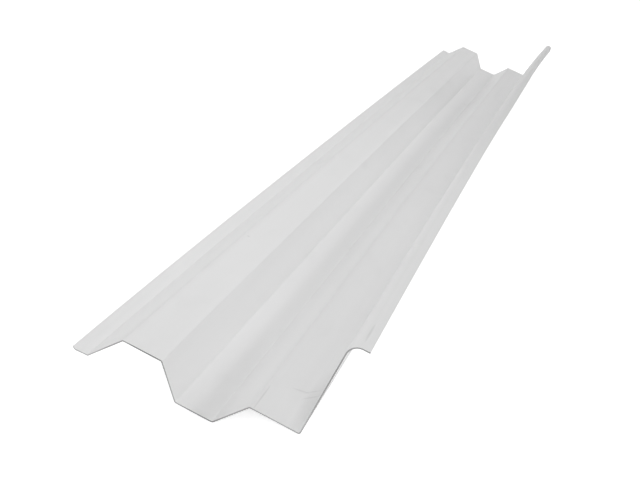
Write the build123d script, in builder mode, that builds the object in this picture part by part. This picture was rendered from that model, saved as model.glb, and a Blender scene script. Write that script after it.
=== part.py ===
from build123d import *
import os
from math import atan2, cos, degrees, radians, sin, tan

# Wall flashing for trapezoid roof sheets, in millimetres: one thin sheet formed along its length.
# It lies as it rests on a level floor: rolled towards the wall side, on the last pan's bend and on
# the foot of the upstand. Length along Y, roof side at -X, wall side at +X.

# Sheet
sheet_length = 1200.0
thickness = 0.8
inner_bend_radius = 0.8
tip_corner_radius = 2.0

# Ribs, which match the roof sheet that the flashing laps over
rib_pitch = 76.0
rib_height = 18.5
crown_width = 23.5
pan_width = 22.5
tip_flat = 10.2

# Wall side
top_flat = 29.4
upstand_height = 60.0
upstand_lean = 4.2
shoulder_radius = 7.0
lip_width = 10.4

# Bends are measured on the middle of the sheet
bend_radius = inner_bend_radius + thickness / 2
web_run = (rib_pitch - crown_width - pan_width) / 2
upstand_run = upstand_height * tan(radians(upstand_lean))

# Corners of the folded section, from the roof edge to the wall edge, with the pans level.
# across is measured along the pans from the foot of the first rib, and up from the pans.
crown_start = web_run
crown_end = crown_start + crown_width
pan_start = crown_end + web_run
pan_end = pan_start + pan_width
top_start = pan_end + web_run
top_end = top_start + top_flat
shoulder = top_end + upstand_run
shoulder_height = rib_height + upstand_height
corners = [
    (-tip_flat, 0),
    (0, 0),
    (crown_start, rib_height),
    (crown_end, rib_height),
    (pan_start, 0),
    (pan_end, 0),
    (top_start, rib_height),
    (top_end, rib_height),
    (shoulder, shoulder_height),
    (shoulder + lip_width, shoulder_height),
]
bend_radii = [bend_radius] * 7 + [shoulder_radius]

# The bends at pan_end and top_end both curve round centres above them, so the sheet rests when
# the line through those two centres is level. Each centre stands back from its corner.
web_slope = degrees(atan2(rib_height, web_run))
pan_bend_centre = pan_end - bend_radius * tan(radians(web_slope / 2))
foot_bend_centre = top_end - bend_radius * tan(radians((90 - upstand_lean) / 2))
rest_roll = degrees(atan2(rib_height, foot_bend_centre - pan_bend_centre))

# The section with its pans level
with BuildSketch() as section:
    with BuildLine() as fold_line:
        FilletPolyline(*corners, radius=bend_radii)
    trace(line_width=thickness)

# Its box once it is rolled gives where the section's zero lies when the part's origin is at the
# middle of the box's bottom face.
rolled_box = section.sketch.rotate(Axis.Z, -rest_roll).bounding_box()
near_end = Plane(
    origin=(-rolled_box.center().X, -sheet_length / 2, -rolled_box.min.Y),
    x_dir=(cos(radians(rest_roll)), 0, -sin(radians(rest_roll))),
    z_dir=(0, -1, 0),
)

# The folded sheet, with both corners of its roof edge eased
with BuildPart() as flashing_sheet:
    with BuildSketch(near_end):
        add(section.sketch)
    extrude(amount=-sheet_length)
    across_the_sheet = flashing_sheet.edges().filter_by(lambda edge: abs(edge.length - thickness) < 0.01)
    fillet(across_the_sheet.sort_by(Axis.X)[:2], radius=tip_corner_radius)
flashing_sheet.part.label = "flashing_sheet"

os.makedirs("parts", exist_ok=True)
export_step(flashing_sheet.part, "parts/flashing_sheet.step")

developed_width = sum(edge.length for edge in fold_line.edges())
print(f"rest roll {rest_roll:.2f} degrees, developed width {developed_width:.1f} mm")
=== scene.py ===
import math
from collections import namedtuple

import bmesh
import bpy
import numpy as np
from bpy.props import FloatProperty, FloatVectorProperty, PointerProperty
from mathutils import Euler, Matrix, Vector


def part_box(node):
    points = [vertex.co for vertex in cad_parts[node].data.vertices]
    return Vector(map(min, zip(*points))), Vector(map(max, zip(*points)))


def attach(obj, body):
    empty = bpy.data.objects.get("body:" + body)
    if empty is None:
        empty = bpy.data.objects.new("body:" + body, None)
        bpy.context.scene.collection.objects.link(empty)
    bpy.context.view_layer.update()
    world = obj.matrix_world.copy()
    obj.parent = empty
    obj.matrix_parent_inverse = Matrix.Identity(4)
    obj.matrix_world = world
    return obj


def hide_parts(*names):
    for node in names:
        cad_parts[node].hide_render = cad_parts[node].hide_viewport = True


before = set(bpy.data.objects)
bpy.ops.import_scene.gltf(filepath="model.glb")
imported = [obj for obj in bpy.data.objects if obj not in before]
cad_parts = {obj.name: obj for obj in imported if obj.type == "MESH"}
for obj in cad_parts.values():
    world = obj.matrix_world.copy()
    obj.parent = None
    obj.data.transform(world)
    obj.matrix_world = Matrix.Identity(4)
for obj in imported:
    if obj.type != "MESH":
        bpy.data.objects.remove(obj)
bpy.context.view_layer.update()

# A formed wall flashing as it lies on the floor: one thin pale sheet with one and a half roof ribs,
# a flat top, an upstand for the wall and a small lip along it. Everything is in metres and radians.

bl_info = {
    "name": "Wall flashing",
    "version": (1, 0, 0),
    "blender": (4, 5, 0),
    "location": "View3D > Sidebar > Flashing",
    "description": "Makes a formed roof-to-wall flashing sheet and the studio that it lies in",
    "category": "Object",
}

NODE = "flashing_sheet"
BODY = "root"
NODE_LOW, NODE_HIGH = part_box(NODE)
MM = 0.001

# Fineness of the mesh
SHARP_TURN_STEPS = 8
ROUND_TURN_STEPS = 14
ROUND_FROM = 3 * MM
FLAT_STEP = 2.2 * MM
STATION_COUNT = 151
STATION_CROWDING = 1.35
FINE_STEP = 0.9 * MM
CREASE_REACH = 4
RIM_ANGLE = math.radians(50)

# The bends from the roof edge, by their place in the section
RIB_FOOT, CROWN_START, CROWN_END, PAN_START, PAN_END, TOP_START, UPSTAND_FOOT, SHOULDER = range(8)
BEND_COUNT = 8

# Where along the sheet, from 0 at the near end to 1 at the far end, each give starts or ends
SPLAY_START = 0.65
FOLD_START = 0.35
FOLD_END = 0.95
OPENING_REACH = 0.20
DROOP_REACH = 0.25

# Slow waves in the flats: radians per metre along and across, start, and share of the ripple.
# They die out within the calm reach of each sharp bend.
Wave = namedtuple("Wave", "along across start share")
WAVES = (Wave(31.0, 55.0, 0.0, 0.5), Wave(53.0, -90.0, 1.3, 0.3))
CALM_REACH = 3 * MM
# How far from the two ridge bends the painted shade along them reaches.
RIDGE_SHADE_REACH = 1 * MM

# Small creases and a dent. across is developed from the roof edge and along is from the middle.
# slant is how far a crease runs on along the sheet for each metre that it goes across.
Crease = namedtuple("Crease", "across along half_width spread slant height")
CREASES = (
    Crease(147 * MM, -560 * MM, 8 * MM, 1.0 * MM, 0.6, 0.30 * MM),
    Crease(152 * MM, -564 * MM, 5 * MM, 1.1 * MM, 1.5, 0.25 * MM),
    Crease(34.5 * MM, -405 * MM, 1.6 * MM, 1.4 * MM, 0.0, -0.45 * MM),
)

# A soft oval each, with how much darker it is in its middle, or lighter where the depth is below 0. A few
# are dirt marks; most are painted shade, and painted light where the depth is below 0, as said beside them.
# slant is as for a crease.
MarkOval = namedtuple("MarkOval", "across along half_width half_length slant depth")
DIRT_AND_PAINTED_LIGHT_OVALS = (
    # A dirt smudge at the lip's bend near the near end.
    MarkOval(219.0 * MM, -580 * MM, 0.8 * MM, 14 * MM, 0.0, 0.12),
    # Painted shade: a thin dark line along the bend at the top's start, near the near end.
    MarkOval(129.3 * MM, -586 * MM, 0.6 * MM, 17 * MM, 0.0, 0.13),
    # Painted shade in the corner at the foot of the upstand, near the near end.
    MarkOval(155.5 * MM, -572 * MM, 7.5 * MM, 55 * MM, 0.0, 0.08),
    # Painted shade: dark lines beside the two pleats near the near end.
    MarkOval(144.7 * MM, -561 * MM, 5.5 * MM, 1.3 * MM, 0.3, 0.09),
    MarkOval(150.5 * MM, -556 * MM, 4.0 * MM, 1.3 * MM, 1.6, 0.09),
    MarkOval(151.7 * MM, -562 * MM, 4.5 * MM, 1.3 * MM, 1.6, 0.10),
    # Painted shade on one side of the dent.
    MarkOval(37.2 * MM, -406.5 * MM, 1.4 * MM, 1.6 * MM, 0.0, 0.12),
    # Painted shade: darker zones on the pan's wall side, its web and the top by the upstand, in the far
    # half.
    MarkOval(105.0 * MM, 330 * MM, 13 * MM, 14 * MM, 0.0, 0.025),
    MarkOval(99.0 * MM, 235 * MM, 6.0 * MM, 120 * MM, 0.0, 0.015),
    MarkOval(150.0 * MM, 325 * MM, 6.0 * MM, 60 * MM, 0.0, 0.01),
    # Two plain darker patches beside the crown.
    MarkOval(60.0 * MM, 262 * MM, 14 * MM, 45 * MM, 0.0, 0.02),
    MarkOval(60.0 * MM, -140 * MM, 5.0 * MM, 14 * MM, 0.0, 0.025),
    # Painted shade: the tip, the crown and the pan darker towards the near end.
    MarkOval(0.0 * MM, -620 * MM, 14 * MM, 160 * MM, 0.0, 0.045),
    MarkOval(46.0 * MM, -620 * MM, 20 * MM, 160 * MM, 0.0, 0.045),
    MarkOval(94.0 * MM, -620 * MM, 18 * MM, 150 * MM, 0.0, 0.065),
    # Painted shade: the roof-side rib darker towards the far end.
    MarkOval(30.0 * MM, 280 * MM, 36 * MM, 400 * MM, 0.0, 0.025),
    # Painted light: the web that faces the wall and the top beside the upstand made lighter.
    MarkOval(69.5 * MM, -30 * MM, 16 * MM, 470 * MM, 0.0, -0.06),
    MarkOval(141.0 * MM, -230 * MM, 15 * MM, 300 * MM, 0.0, -0.03),
)

# Darkening along the wall side: where it starts and is full across the sheet, and along it
LIP_FROM, LIP_FULL = 214.5 * MM, 218 * MM
SHOULDER_FROM, SHOULDER_FULL = 204 * MM, 209 * MM
FAR_FROM, FAR_FULL = -260 * MM, -90 * MM
LIP_SHARE_FAR = 0.6

# Patterns on the faces: how often each repeats across and along the sheet in a metre, its detail
# and its offset, which keeps the patterns apart
Pattern = namedtuple("Pattern", "across along detail offset")
DIE_LINES = Pattern(900.0, 0.8, 3.0, 0.0)
BROAD_LINES = Pattern(160.0, 0.5, 2.0, 7.0)
CLOUDING = Pattern(14.0, 5.0, 3.0, 3.0)
SPECKS = Pattern(1400.0, 1400.0, 1.0, 11.0)
RUBBING = Pattern(60.0, 22.0, 5.0, 19.0)
PATCHES = Pattern(220.0, 60.0, 3.0, 23.0)
MIDDLE = 0.5

# Where a speck counts as dust and rubbing as a scuff, and how uneven a stain is
DUST_FROM, DUST_FULL = 0.70, 0.78
SCUFF_FROM, SCUFF_FULL = 0.56, 0.72
PATCH_LOW, PATCH_SWING = 0.6, 0.8

# How far each pattern changes the faces' shade, roughness and height
# The third is how dark the painted shade along the two ridge bends is.
DUST_SHADE, SCUFF_SHADE, RIDGE_SHADE_DEPTH = 0.05, 0.02, 0.05
CLOUD_SHADE, BROAD_SHADE, LINE_SHADE = 0.05, 0.03, 0.02
LINE_ROUGHNESS, SCUFF_ROUGHNESS, CLOUD_ROUGHNESS = 0.12, 0.14, 0.06
CLOUD_HEIGHT, SPECK_HEIGHT = 0.6, 0.15
FACE_BUMP, FACE_RELIEF = 0.25, 0.06 * MM
SHEET_IOR = 1.5

# The sawn ends: noise scales of the saw's lines and of patches, and what they change
SAW_SCALE, SAW_PATCH_SCALE, SAW_DETAIL = 2600.0, 90.0, 2.0
SAW_SHADE, SAW_PATCH_SHADE = 0.25, 0.3
SAW_ROUGHNESS, SAW_ROUGHNESS_SWING = 0.7, 0.2
SAW_BUMP, SAW_RELIEF = 0.4, 0.1 * MM

# Painted light and shade on the sawn ends: stretches that are darker, or lighter with a depth below 0
Tone = namedtuple("Tone", "across half_width depth")
SAWN_PAINTED_LIGHT_AND_SHADE = (
    Tone(8 * MM, 16 * MM, -0.45),
    Tone(48 * MM, 12 * MM, 0.45),
    Tone(76 * MM, 14 * MM, -0.25),
    Tone(100 * MM, 12 * MM, 0.22),
    Tone(142 * MM, 14 * MM, -0.35),
    Tone(163 * MM, 12 * MM, -0.25),
    Tone(200 * MM, 18 * MM, 0.10),
)


def size_property(name, millimetres, description):
    """A length that a user sets in Blender's own units."""
    return FloatProperty(
        name=name, default=millimetres * MM, min=0.0, unit="LENGTH", precision=4, description=description
    )


def angle_property(name, degrees, description):
    """An angle that a user sets in degrees."""
    return FloatProperty(name=name, default=math.radians(degrees), unit="ROTATION", description=description)


def share_property(name, share, description):
    """A plain number from 0 to 1."""
    return FloatProperty(name=name, default=share, min=0.0, max=1.0, description=description)


def colour_property(name, level, description):
    """A colour without alpha, grey until the user changes it."""
    return FloatVectorProperty(
        name=name, subtype="COLOR", size=3, min=0.0, max=1.0, default=(level,) * 3, description=description
    )


def power_property(name, watts, description):
    """The power of a lamp."""
    return FloatProperty(name=name, default=watts, min=0.0, unit="POWER", description=description)


class FlashingSizes(bpy.types.PropertyGroup):
    """Sizes of the folded section, between the middles of the sheet."""

    length: FloatProperty(
        name="Length",
        default=NODE_HIGH.y - NODE_LOW.y,
        min=0.1,
        unit="LENGTH",
        description="Length of the sheet along its folds",
    )
    thickness: size_property("Thickness", 0.8, "Thickness of the sheet")
    inner_bend: size_property("Inner bend radius", 0.8, "Radius inside each sharp bend")
    tip_corner: size_property("Tip corner radius", 2.0, "Rounding of the two corners of the roof edge")
    rib_pitch: size_property("Rib pitch", 76.0, "Distance from one roof rib to the next")
    rib_height: size_property("Rib height", 18.5, "Height of a rib above its pans")
    crown: size_property("Crown", 23.5, "Flat width on top of the whole rib")
    pan: size_property("Pan", 22.5, "Flat width between the ribs")
    tip: size_property("Tip", 10.2, "Flat width outside the whole rib")
    top: size_property("Top", 29.4, "Flat width from the last web to the upstand")
    upstand: size_property("Upstand", 60.0, "Height of the upstand above the top")
    upstand_lean: angle_property("Upstand lean", 4.2, "How far the upstand leans past square")
    shoulder: size_property("Shoulder radius", 7.0, "Radius of the bend from the upstand to the lip")
    lip: size_property("Lip", 10.4, "Width of the lip from the upstand's line to its edge")


class FlashingFlex(bpy.types.PropertyGroup):
    """How this long thin sheet has given along its length."""

    arch: size_property("Arch", 0.6, "How far the middle of the sheet stands up from the floor")
    sweep: size_property("Sweep", 1.6, "How far the middle of the sheet bows towards the roof side")
    opening: angle_property("Outer web opening", 2.7, "How far the rib's outer web has opened")
    near_opening: angle_property("Near web opening", 0.8, "How far that web has opened at the near end")
    lean_in: angle_property("Upstand lean in", 1.4, "How far the upstand leans back at mid length")
    splay: angle_property("Far splay", 4.5, "How much further the upstand leans out at the far end")
    fold: angle_property("Far lip fold", 75.0, "How far the lip is bent down at the far end")
    droop: angle_property("Near tip droop", 4.0, "How far the tip hangs down at the near end")
    ripple: size_property("Ripple", 0.12, "Height of the slow waves in the flats")


class FlashingFinish(bpy.types.PropertyGroup):
    """Colour and surface of the sheet."""

    sheet: colour_property("Sheet", 0.88, "Colour of the sheet's faces")
    # The sawn ends' dark grey is partly the cut's own tone and partly painted shade for faces turned from
    # the lamps.
    sawn: colour_property("Sawn end", 0.42, "Colour of the two sawn ends")
    roughness: share_property("Roughness", 0.46, "Roughness of the clean sheet")
    streaks: share_property("Streaks", 0.35, "Strength of the fine lines left along the sheet by its die")
    soiling: share_property("Soiling", 0.5, "Strength of the faint handling marks")
    # Strength of all the ovals: dirt marks, painted shade and painted light.
    stains_and_painted_light: share_property("Stains", 1.0, "Strength of the separate dirty marks")
    # Plain darkening of the lip, and of the shoulder towards the far end.
    lip_darkening: share_property("Lip dirt", 0.09, "How much darker the handled lip is than the sheet")
    far_shoulder_darkening: share_property("Shoulder dirt", 0.075, "How much darker the far shoulder is")


class FlashingStage(bpy.types.PropertyGroup):
    """Floor, light and camera."""

    floor: colour_property("Floor", 0.8, "Colour of the floor under the sheet")
    sky: FloatProperty(name="Sky", default=0.485, min=0.0, description="Strength of the even light around")
    roof_side: power_property("Roof side lamp", 5.0, "Power of the lamp above the roof side")
    front: power_property("Front lamp", 14.2, "Power of the large lamp above the camera")
    wall_side: power_property("Wall side lamp", 3.4, "Power of the small lamp that shines in over the lip")
    lens: FloatProperty(
        name="Lens", default=61.16, min=1.0, description="Camera lens in millimetres on a 36 mm frame"
    )


# Where the lamps stand, what they look at and how wide they are
Lamp = namedtuple("Lamp", "name place target width")
LAMPS = (
    Lamp("roof_side", (-1.5, -0.2, 1.6), (0.0, -0.2, 0.0), 1.2),
    Lamp("front", (0.4, -1.9, 1.4), (0.0, -0.4, 0.0), 2.0),
    Lamp("wall_side", (1.5, -0.5, 0.826), (0.0, -0.4, 0.0), 0.1),
)
FLOOR_WIDTH = 30.0
FLOOR_GAP = 0.2 * MM
FLOOR_WHITE = 0.75
FLOOR_ROUGHNESS = 0.9
FLOOR_GRAIN_SCALE, FLOOR_GRAIN_DETAIL, FLOOR_GRAIN = 3.0, 2.0, 0.01

CAMERA_PLACE = (0.19195, -1.08252, 0.26555)
CAMERA_DOWN = math.radians(17.70)
CAMERA_YAW = math.radians(15.703)
CAMERA_FRAME = 36.0
CAMERA_CLIP = 0.01


# The folded section


def web_slope(sizes):
    """The run of a web along the pans, and its slope."""
    run = (sizes.rib_pitch - sizes.crown - sizes.pan) / 2
    return run, math.atan2(sizes.rib_height, run)


def folds(sizes):
    """The section's stretches from the roof edge: width between corners, turn after it and its radius."""
    run, slope = web_slope(sizes)
    web = math.hypot(run, sizes.rib_height)
    sharp = sizes.inner_bend + sizes.thickness / 2
    square = math.pi / 2 - sizes.upstand_lean
    return [
        (sizes.tip, slope, sharp),
        (web, -slope, sharp),
        (sizes.crown, -slope, sharp),
        (web, slope, sharp),
        (sizes.pan, slope, sharp),
        (web, -slope, sharp),
        (sizes.top, square, sharp),
        (sizes.upstand / math.cos(sizes.upstand_lean), -square, sizes.shoulder),
        (sizes.lip, 0.0, 0.0),
    ]


def rest_roll(sizes):
    """The section's roll when the bend after the pan and the foot of the upstand both touch the floor."""
    run, slope = web_slope(sizes)
    sharp = sizes.inner_bend + sizes.thickness / 2
    pan_setback = sharp * math.tan(slope / 2)
    foot_setback = sharp * math.tan((math.pi / 2 - sizes.upstand_lean) / 2)
    return math.atan2(sizes.rib_height, run + sizes.top - foot_setback + pan_setback)


class Section:
    """The sheet's middle line, sampled across its developed width.

    across is the developed distance from the roof edge, heading the direction of the sheet there with
    the pans level, and turned[k] how far bend k has been passed, from 0 to 1.
    """

    def __init__(self, sizes):
        across, heading, passed = [0.0], [0.0], [[0.0] * BEND_COUNT]
        reached, direction, before = 0.0, 0.0, 0.0
        self.bend_at = []
        for index, (width, turn, radius) in enumerate(folds(sizes)):
            setback = radius * math.tan(abs(turn) / 2)
            flat = width - before - setback
            if flat <= 0:
                raise ValueError(f"stretch {index + 1} of the section is narrower than its bends")
            count = max(2, round(flat / FLAT_STEP))
            done = [1.0] * index + [0.0] * (BEND_COUNT - index)
            for step in range(1, count + 1):
                across.append(reached + flat * step / count)
                heading.append(direction)
                passed.append(list(done))
            reached += flat
            if turn:
                arc = radius * abs(turn)
                steps = ROUND_TURN_STEPS if radius > ROUND_FROM else SHARP_TURN_STEPS
                for step in range(1, steps + 1):
                    share = step / steps
                    done[index] = share
                    across.append(reached + arc * share)
                    heading.append(direction + turn * share)
                    passed.append(list(done))
                self.bend_at.append(reached + arc / 2)
                reached += arc
                direction += turn
            before = setback
        self.across = np.array(across)
        self.heading = np.array(heading)
        self.turned = np.array(passed).T

    def nearness(self, bends, reach):
        """How near each point is to one of those bends: 1 on it, 0 from reach away."""
        places = np.array([self.bend_at[bend] for bend in bends])
        gaps = np.abs(self.across[:, None] - places[None, :]).min(axis=1)
        return np.clip(1 - gaps / reach, 0, 1)

    def traced(self, headings, anchor):
        """The middle line's x and z for headings[station, point], with point number anchor at zero."""
        step = np.diff(self.across)
        middle = (headings[:, 1:] + headings[:, :-1]) / 2
        start = np.zeros((len(headings), 1))
        x = np.concatenate([start, np.cumsum(np.cos(middle) * step, axis=1)], axis=1)
        z = np.concatenate([start, np.cumsum(np.sin(middle) * step, axis=1)], axis=1)
        return x - x[:, anchor : anchor + 1], z - z[:, anchor : anchor + 1]


def stations(length):
    """Places along the sheet, closer together towards its two ends and finest at the creases."""
    even = np.linspace(-STATION_CROWDING, STATION_CROWDING, STATION_COUNT)
    places = [np.sin(even) / math.sin(STATION_CROWDING) * length / 2]
    for crease in CREASES:
        reach = CREASE_REACH * crease.spread + abs(crease.slant) * crease.half_width
        places.append(np.arange(crease.along - reach, crease.along + reach, FINE_STEP))
    merged = np.sort(np.concatenate(places))
    kept = [merged[0]]
    for place in merged[1:-1]:
        if place - kept[-1] > FINE_STEP / 2 and merged[-1] - place > FINE_STEP / 2:
            kept.append(place)
    kept.append(merged[-1])
    return np.array(kept)


def eased(value):
    """0 below 0, 1 above 1 and smooth between."""
    value = np.clip(value, 0, 1)
    return value * value * (3 - 2 * value)


def bow(along, length):
    """1 at mid length and 0 at both ends."""
    return 1 - (2 * along / length) ** 2


def flexed_headings(section, flex, along, length):
    """The section's headings at each station, with what this sheet has given."""
    way = (along / length + 0.5)[:, None]
    beyond_foot = section.turned[UPSTAND_FOOT][None, :]
    beyond_shoulder = section.turned[SHOULDER][None, :]
    outer_web = 1 - section.turned[CROWN_START][None, :]
    tip = 1 - section.turned[RIB_FOOT][None, :]

    splay = flex.splay * np.clip((way - SPLAY_START) / (1 - SPLAY_START), 0, None) ** 2
    splay = splay - flex.lean_in * bow(along, length)[:, None]
    fold = flex.fold * eased((way - FOLD_START) / (FOLD_END - FOLD_START))
    kept_shut = (flex.opening - flex.near_opening) * np.clip(1 - way / OPENING_REACH, 0, 1) ** 2
    opening = flex.opening - kept_shut
    droop = flex.droop * np.clip(1 - way / DROOP_REACH, 0, 1) ** 2

    headings = section.heading[None, :] + droop * tip - opening * outer_web
    return headings - splay * beyond_foot - fold * beyond_shoulder


def relief(section, flex, along):
    """How far each point of the sheet stands out of its smooth surface."""
    across = section.across[None, :]
    along = along[:, None]

    flats = 1 - section.nearness(range(SHOULDER), CALM_REACH)[None, :]
    out = 0.0
    for wave in WAVES:
        swing = np.sin(along * wave.along + across * wave.across + wave.start)
        out = out + flex.ripple * wave.share * swing * flats
    for crease in CREASES:
        aside = (across - crease.across) / crease.half_width
        line = crease.along + crease.slant * (across - crease.across)
        off = (along - line) / crease.spread
        out = out + crease.height * np.exp(-(aside**2) - off**2)
    return out


def sheet_surface(sizes, flex):
    """Upper and lower points of the sheet as arrays [station, point, xyz], with its section."""
    section = Section(sizes)
    along = stations(sizes.length)
    roll = rest_roll(sizes)
    half = sizes.thickness / 2
    anchor = int(np.argmin(np.abs(section.across - section.bend_at[PAN_END])))

    # Where the straight sheet lies in the frame
    straight = section.heading[None, :] - roll
    straight_x, straight_z = section.traced(straight, anchor)
    out_x = half * np.sin(straight)
    out_z = half * np.cos(straight)
    edges_x = np.concatenate([straight_x - out_x, straight_x + out_x])
    edges_z = np.concatenate([straight_z - out_z, straight_z + out_z])
    shift_x = (NODE_LOW.x + NODE_HIGH.x) / 2 - (edges_x.min() + edges_x.max()) / 2
    shift_z = NODE_LOW.z - edges_z.min()

    headings = flexed_headings(section, flex, along, sizes.length) - roll
    x, z = section.traced(headings, anchor)
    x = x + shift_x - flex.sweep * bow(along, sizes.length)[:, None]
    z = z + shift_z + flex.arch * bow(along, sizes.length)[:, None]

    lift = relief(section, flex, along)
    upper_x = x - (half + lift) * np.sin(headings)
    upper_z = z + (half + lift) * np.cos(headings)
    lower_x = x + (half - lift) * np.sin(headings)
    lower_z = z - (half - lift) * np.cos(headings)

    # The roof edge's corners are rounded, so the sheet is a little shorter right beside that edge
    inside = np.clip(1 - section.across / sizes.tip_corner, 0, 1)
    cut_back = sizes.tip_corner * (1 - np.sqrt(1 - inside**2))
    y = along[:, None] * (1 - 2 * cut_back[None, :] / sizes.length)
    upper = np.stack([upper_x, y, upper_z], axis=2)
    lower = np.stack([lower_x, y, lower_z], axis=2)
    return section, along, upper, lower


def quads(first, second, third, fourth):
    """Four-cornered faces from four arrays of point numbers."""
    return np.stack([first.ravel(), second.ravel(), third.ravel(), fourth.ravel()], axis=1)


def sheet_mesh(name, sizes, flex):
    """A closed mesh of the whole sheet, with its faces smooth and its sawn ends in a slot of their own."""
    section, along, upper, lower = sheet_surface(sizes, flex)
    rows, columns = upper.shape[:2]
    points = np.concatenate([upper.reshape(-1, 3), lower.reshape(-1, 3)])
    low = rows * columns
    index = np.arange(low).reshape(rows, columns)

    upper_faces = quads(index[:-1, :-1], index[:-1, 1:], index[1:, 1:], index[1:, :-1])
    lower_faces = quads(index[:-1, :-1], index[1:, :-1], index[1:, 1:], index[:-1, 1:]) + low
    roof_edge = quads(index[:-1, 0], index[1:, 0], index[1:, 0] + low, index[:-1, 0] + low)
    wall_edge = quads(index[1:, -1], index[:-1, -1], index[:-1, -1] + low, index[1:, -1] + low)
    near_end = quads(index[0, 1:], index[0, :-1], index[0, :-1] + low, index[0, 1:] + low)
    far_end = quads(index[-1, :-1], index[-1, 1:], index[-1, 1:] + low, index[-1, :-1] + low)
    faces = np.concatenate([upper_faces, lower_faces, roof_edge, wall_edge, near_end, far_end])
    smooth = len(upper_faces) + len(lower_faces)
    sawn = len(near_end) + len(far_end)

    mesh = bpy.data.meshes.new(name)
    mesh.from_pydata(points.tolist(), [], faces.tolist())
    mesh.polygons.foreach_set("material_index", [0] * (len(faces) - sawn) + [1] * sawn)
    mesh.polygons.foreach_set("use_smooth", [True] * smooth + [False] * (len(faces) - smooth))
    fields = {
        # 1 on the two ridge bends, for the painted shade along them.
        "wear": np.tile(section.nearness((CROWN_START, TOP_START), RIDGE_SHADE_REACH), rows),
        "across": np.tile(section.across, rows),
        "along": np.repeat(along, columns),
    }
    for field, values in fields.items():
        mesh.attributes.new(field, "FLOAT", "POINT").data.foreach_set("value", np.tile(values, 2))
    mark_rims(mesh)
    mesh.validate()
    mesh.update()
    return mesh


def mark_rims(mesh):
    """Makes every edge that turns further than the rim angle a sharp one, so that the rims shade cleanly."""
    work = bmesh.new()
    work.from_mesh(mesh)
    for edge in work.edges:
        edge.smooth = len(edge.link_faces) == 2 and edge.calc_face_angle() < RIM_ANGLE
    work.to_mesh(mesh)
    work.free()


# Shader maths


class Value:
    """A node's output in a material, on which plain arithmetic adds Math nodes."""

    def __init__(self, tree, socket=None):
        self.tree = tree
        self.socket = socket

    def node(self, kind, settings=None, sockets=None, output=0):
        """Adds a node of that kind, sets it up, fills its sockets and returns its output."""
        made = self.tree.nodes.new(kind)
        for key, setting in (settings or {}).items():
            setattr(made, key, setting)
        for key, value in (sockets or {}).items():
            if isinstance(value, Value):
                self.tree.links.new(value.socket, made.inputs[key])
            else:
                made.inputs[key].default_value = value
        return Value(self.tree, made.outputs[output])

    def maths(self, operation, first, second=0.0):
        return self.node("ShaderNodeMath", {"operation": operation}, {0: first, 1: second})

    def __add__(self, other):
        return self.maths("ADD", self, other)

    def __sub__(self, other):
        return self.maths("SUBTRACT", self, other)

    def __rsub__(self, other):
        return self.maths("SUBTRACT", other, self)

    def __mul__(self, other):
        return self.maths("MULTIPLY", self, other)

    def __truediv__(self, other):
        return self.maths("DIVIDE", self, other)

    def __rtruediv__(self, other):
        return self.maths("DIVIDE", other, self)

    __radd__ = __add__
    __rmul__ = __mul__

    def at_least(self, floor):
        return self.maths("MAXIMUM", self, floor)

    def between(self, low, high):
        """0 at low, 1 at high and straight between, with nothing outside 0 to 1."""
        sockets = {"Value": self, "From Min": low, "From Max": high}
        return self.node("ShaderNodeMapRange", {"clamp": True}, sockets)

    def tinted(self, colour):
        """The colour made lighter or darker by this value."""
        tone = self.node("ShaderNodeCombineXYZ", None, {"X": self, "Y": self, "Z": self})
        return self.node("ShaderNodeVectorMath", {"operation": "MULTIPLY"}, {0: tone, 1: tuple(colour)})


def new_material(name):
    """An empty material, its output node and the start of its graph."""
    material = bpy.data.materials.new(name)
    material.use_nodes = True
    tree = material.node_tree
    tree.nodes.clear()
    out = tree.nodes.new("ShaderNodeOutputMaterial")
    return material, out, Value(tree)


def grey(level):
    return (level, level, level, 1.0)


def noise(graph, where, scale, detail):
    """Smooth noise around 0.5 at the places in where."""
    sockets = {"Vector": where, "Scale": scale, "Detail": detail}
    return graph.node("ShaderNodeTexNoise", {"noise_dimensions": "3D"}, sockets, "Fac")


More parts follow.
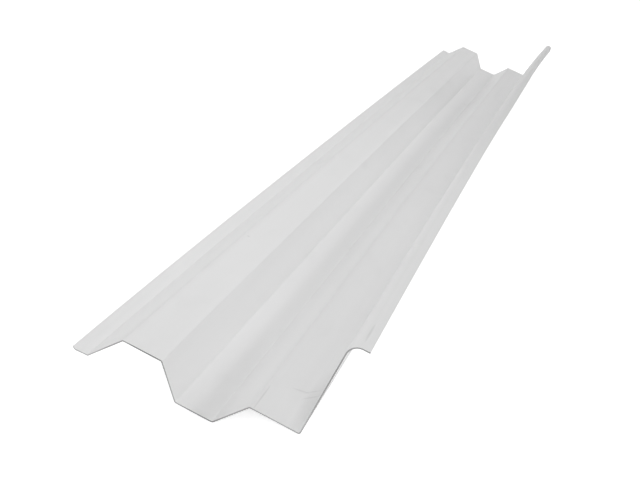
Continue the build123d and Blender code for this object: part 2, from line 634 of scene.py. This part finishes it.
def sheet_material(finish):
    """Satin pale sheet: faint lines from the die, slow clouding, dust, scuffs, dirt, ovals of painted light
    and shade, a darker lip and far shoulder, and painted shade along two ridge bends.
    """
    material, out, graph = new_material("satin_sheet")
    across = graph.node("ShaderNodeAttribute", {"attribute_name": "across"}, output="Fac")
    along = graph.node("ShaderNodeAttribute", {"attribute_name": "along"}, output="Fac")
    wear = graph.node("ShaderNodeAttribute", {"attribute_name": "wear"}, output="Fac")

    def spread(pattern):
        """Noise with its own scale across and along the sheet."""
        aside = across * pattern.across + pattern.offset
        where = {"X": aside, "Y": along * pattern.along, "Z": pattern.offset}
        return noise(graph, graph.node("ShaderNodeCombineXYZ", None, where), 1.0, pattern.detail)

    def oval(mark_oval):
        """1 in the middle of the oval, 0 from its edge on."""
        aside = (across - mark_oval.across) / mark_oval.half_width
        off = (along - mark_oval.along) / mark_oval.half_length
        if mark_oval.slant:
            off = off - aside * (mark_oval.slant * mark_oval.half_width / mark_oval.half_length)
        return (1.0 - aside * aside - off * off).at_least(0.0)

    die_lines = spread(DIE_LINES)
    clouding = spread(CLOUDING)
    specks = spread(SPECKS)
    dust = specks.between(DUST_FROM, DUST_FULL)
    scuffs = spread(RUBBING).between(SCUFF_FROM, SCUFF_FULL)
    patchy = spread(PATCHES) * PATCH_SWING + PATCH_LOW

    dirt_and_painted_shade = dust * (DUST_SHADE * finish.soiling) + scuffs * (SCUFF_SHADE * finish.soiling)
    # Each oval adds a dirt mark, or painted shade, or with a depth below 0 painted light.
    for mark_oval in DIRT_AND_PAINTED_LIGHT_OVALS:
        dirt_and_painted_shade = dirt_and_painted_shade + oval(mark_oval) * patchy * (mark_oval.depth * finish.stains_and_painted_light)
    # Plain darkening along the lip, and on the shoulder towards the far end.
    far = along.between(FAR_FROM, FAR_FULL)
    on_lip = across.between(LIP_FROM, LIP_FULL) * (1.0 - far * (1 - LIP_SHARE_FAR))
    on_shoulder = across.between(SHOULDER_FROM, SHOULDER_FULL) * far
    dirt_and_painted_shade = dirt_and_painted_shade + on_lip * finish.lip_darkening + on_shoulder * finish.far_shoulder_darkening

    lines, clouds = die_lines - MIDDLE, clouding - MIDDLE
    shade = clouds * CLOUD_SHADE + (spread(BROAD_LINES) - MIDDLE) * BROAD_SHADE + lines * LINE_SHADE + 1.0
    # Painted shade along the two ridge bends comes off here.
    shade = shade - dirt_and_painted_shade - wear * patchy * RIDGE_SHADE_DEPTH
    roughness = finish.roughness + lines * LINE_ROUGHNESS + clouds * CLOUD_ROUGHNESS
    roughness = roughness + scuffs * SCUFF_ROUGHNESS + dirt_and_painted_shade
    height = die_lines * finish.streaks + clouding * CLOUD_HEIGHT + specks * SPECK_HEIGHT
    bump = {"Height": height, "Strength": FACE_BUMP, "Distance": FACE_RELIEF}
    skin = {
        "Base Color": shade.tinted(finish.sheet),
        "Roughness": roughness,
        "Normal": graph.node("ShaderNodeBump", None, bump),
        "IOR": SHEET_IOR,
    }
    surface = graph.node("ShaderNodeBsdfPrincipled", None, skin)
    material.node_tree.links.new(surface.socket, out.inputs["Surface"])
    return material


def sawn_material(finish):
    """The two sawn ends: darker and rough, with the saw's fine lines; their dark grey is partly the cut's
    own tone and partly painted shade, with stretches painted lighter and darker.
    """
    material, out, graph = new_material("sawn_end")
    across = graph.node("ShaderNodeAttribute", {"attribute_name": "across"}, output="Fac")
    place = graph.node("ShaderNodeTexCoord", output="Object")
    lines = noise(graph, place, SAW_SCALE, SAW_DETAIL)
    patches = noise(graph, place, SAW_PATCH_SCALE, SAW_DETAIL)
    shade = (lines - MIDDLE) * SAW_SHADE + (patches - MIDDLE) * SAW_PATCH_SHADE + 1.0
    # Painted light and shade along the section.
    for tone in SAWN_PAINTED_LIGHT_AND_SHADE:
        aside = (across - tone.across) / tone.half_width
        shade = shade - (1.0 - aside * aside).at_least(0.0) * tone.depth
    bump = {"Height": lines, "Strength": SAW_BUMP, "Distance": SAW_RELIEF}
    face = {
        "Base Color": shade.tinted(finish.sawn),
        "Roughness": (lines - MIDDLE) * SAW_ROUGHNESS_SWING + SAW_ROUGHNESS,
        "Normal": graph.node("ShaderNodeBump", None, bump),
        "IOR": SHEET_IOR,
    }
    surface = graph.node("ShaderNodeBsdfPrincipled", None, face)
    material.node_tree.links.new(surface.socket, out.inputs["Surface"])
    return material


def seen(graph):
    """1 for rays from the camera, or from a gloss or through glass, which see the white surroundings."""
    camera, glossy, through = (
        graph.node("ShaderNodeLightPath", output=ray)
        for ray in ("Is Camera Ray", "Is Glossy Ray", "Is Transmission Ray")
    )
    return camera.maths("MAXIMUM", camera, glossy.maths("MAXIMUM", glossy, through))


def floor_material(stage):
    """A pale floor that reads as white paper where no shadow falls."""
    material, out, graph = new_material("studio_floor")
    place = graph.node("ShaderNodeTexCoord", output="Object")
    grain = noise(graph, place, FLOOR_GRAIN_SCALE, FLOOR_GRAIN_DETAIL)
    shade = (grain - MIDDLE) * FLOOR_GRAIN + 1.0
    face = {"Base Color": shade.tinted(stage.floor), "Roughness": FLOOR_ROUGHNESS}
    paper = graph.node("ShaderNodeBsdfPrincipled", None, face)
    glow = graph.node("ShaderNodeEmission", None, {"Color": grey(1.0), "Strength": FLOOR_WHITE})
    lit = graph.node("ShaderNodeAddShader", None, {0: paper, 1: glow})
    both = graph.node("ShaderNodeMixShader", None, {0: seen(graph), 1: paper, 2: lit})
    material.node_tree.links.new(both.socket, out.inputs["Surface"])
    return material


def make_sky(stage):
    """Even light all round, white where it is seen past the floor."""
    world = bpy.data.worlds.new("studio_sky")
    bpy.context.scene.world = world
    world.use_nodes = True
    tree = world.node_tree
    tree.nodes.clear()
    out = tree.nodes.new("ShaderNodeOutputWorld")
    graph = Value(tree)
    light = graph.node("ShaderNodeBackground", None, {"Color": grey(1.0), "Strength": stage.sky})
    white = graph.node("ShaderNodeBackground", None, {"Color": grey(1.0), "Strength": 1.0})
    both = graph.node("ShaderNodeMixShader", None, {0: seen(graph), 1: light, 2: white})
    tree.links.new(both.socket, out.inputs["Surface"])


def add_lamp(lamp, power):
    """A square soft lamp."""
    data = bpy.data.lights.new(lamp.name, "AREA")
    data.shape = "SQUARE"
    data.size = lamp.width
    data.energy = power
    holder = bpy.data.objects.new(lamp.name, data)
    holder.location = lamp.place
    aim = Vector(lamp.target) - Vector(lamp.place)
    holder.rotation_euler = aim.to_track_quat("-Z", "Y").to_euler()
    bpy.context.collection.objects.link(holder)


def add_camera(stage):
    """The viewpoint: near the sheet's near end, a little to the wall side, looking down."""
    data = bpy.data.cameras.new("camera")
    data.sensor_width = CAMERA_FRAME
    data.lens = stage.lens
    data.clip_start = CAMERA_CLIP
    camera = bpy.data.objects.new("camera", data)
    camera.location = CAMERA_PLACE
    camera.rotation_euler = Euler((math.pi / 2 - CAMERA_DOWN, 0.0, CAMERA_YAW))
    bpy.context.collection.objects.link(camera)
    bpy.context.scene.camera = camera


# Operators


class FLASHING_OT_sheet(bpy.types.Operator):
    """Make the formed sheet with its finish"""

    bl_idname = "flashing.sheet"
    bl_label = "Make the sheet"

    def execute(self, context):
        scene = context.scene
        mesh = sheet_mesh("formed_sheet", scene.flashing_sizes, scene.flashing_flex)
        mesh.materials.append(sheet_material(scene.flashing_finish))
        mesh.materials.append(sawn_material(scene.flashing_finish))
        sheet = bpy.data.objects.new("formed_sheet", mesh)
        scene.collection.objects.link(sheet)
        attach(sheet, BODY)
        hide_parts(NODE)
        return {"FINISHED"}


class FLASHING_OT_stage(bpy.types.Operator):
    """Make the floor, the light and the camera"""

    bl_idname = "flashing.stage"
    bl_label = "Make the stage"

    def execute(self, context):
        stage = context.scene.flashing_stage
        bpy.ops.mesh.primitive_plane_add(size=FLOOR_WIDTH, location=(0.0, 0.0, -FLOOR_GAP))
        floor = context.active_object
        floor.name = "studio_floor"
        floor.data.materials.append(floor_material(stage))
        make_sky(stage)
        for lamp in LAMPS:
            add_lamp(lamp, getattr(stage, lamp.name))
        add_camera(stage)
        context.scene.view_settings.view_transform = "Standard"
        return {"FINISHED"}


class FLASHING_PT_panel(bpy.types.Panel):
    """The flashing's sizes, finish and buttons"""

    bl_idname = "FLASHING_PT_panel"
    bl_label = "Wall flashing"
    bl_space_type = "VIEW_3D"
    bl_region_type = "UI"
    bl_category = "Flashing"

    def draw(self, context):
        scene = context.scene
        sheet = (scene.flashing_sizes, scene.flashing_flex, scene.flashing_finish)
        for group in (*sheet, scene.flashing_stage):
            box = self.layout.box()
            for key in group.__annotations__:
                box.prop(group, key)
        self.layout.operator(FLASHING_OT_sheet.bl_idname)
        self.layout.operator(FLASHING_OT_stage.bl_idname)


CLASSES = (
    FlashingSizes,
    FlashingFlex,
    FlashingFinish,
    FlashingStage,
    FLASHING_OT_sheet,
    FLASHING_OT_stage,
    FLASHING_PT_panel,
)


def register():
    for cls in CLASSES:
        bpy.utils.register_class(cls)
    bpy.types.Scene.flashing_sizes = PointerProperty(type=FlashingSizes)
    bpy.types.Scene.flashing_flex = PointerProperty(type=FlashingFlex)
    bpy.types.Scene.flashing_finish = PointerProperty(type=FlashingFinish)
    bpy.types.Scene.flashing_stage = PointerProperty(type=FlashingStage)


def unregister():
    del bpy.types.Scene.flashing_stage
    del bpy.types.Scene.flashing_finish
    del bpy.types.Scene.flashing_flex
    del bpy.types.Scene.flashing_sizes
    for cls in reversed(CLASSES):
        bpy.utils.unregister_class(cls)


def main():
    register()
    bpy.ops.flashing.sheet()
    bpy.ops.flashing.stage()


if __name__ == "__main__":
    main()
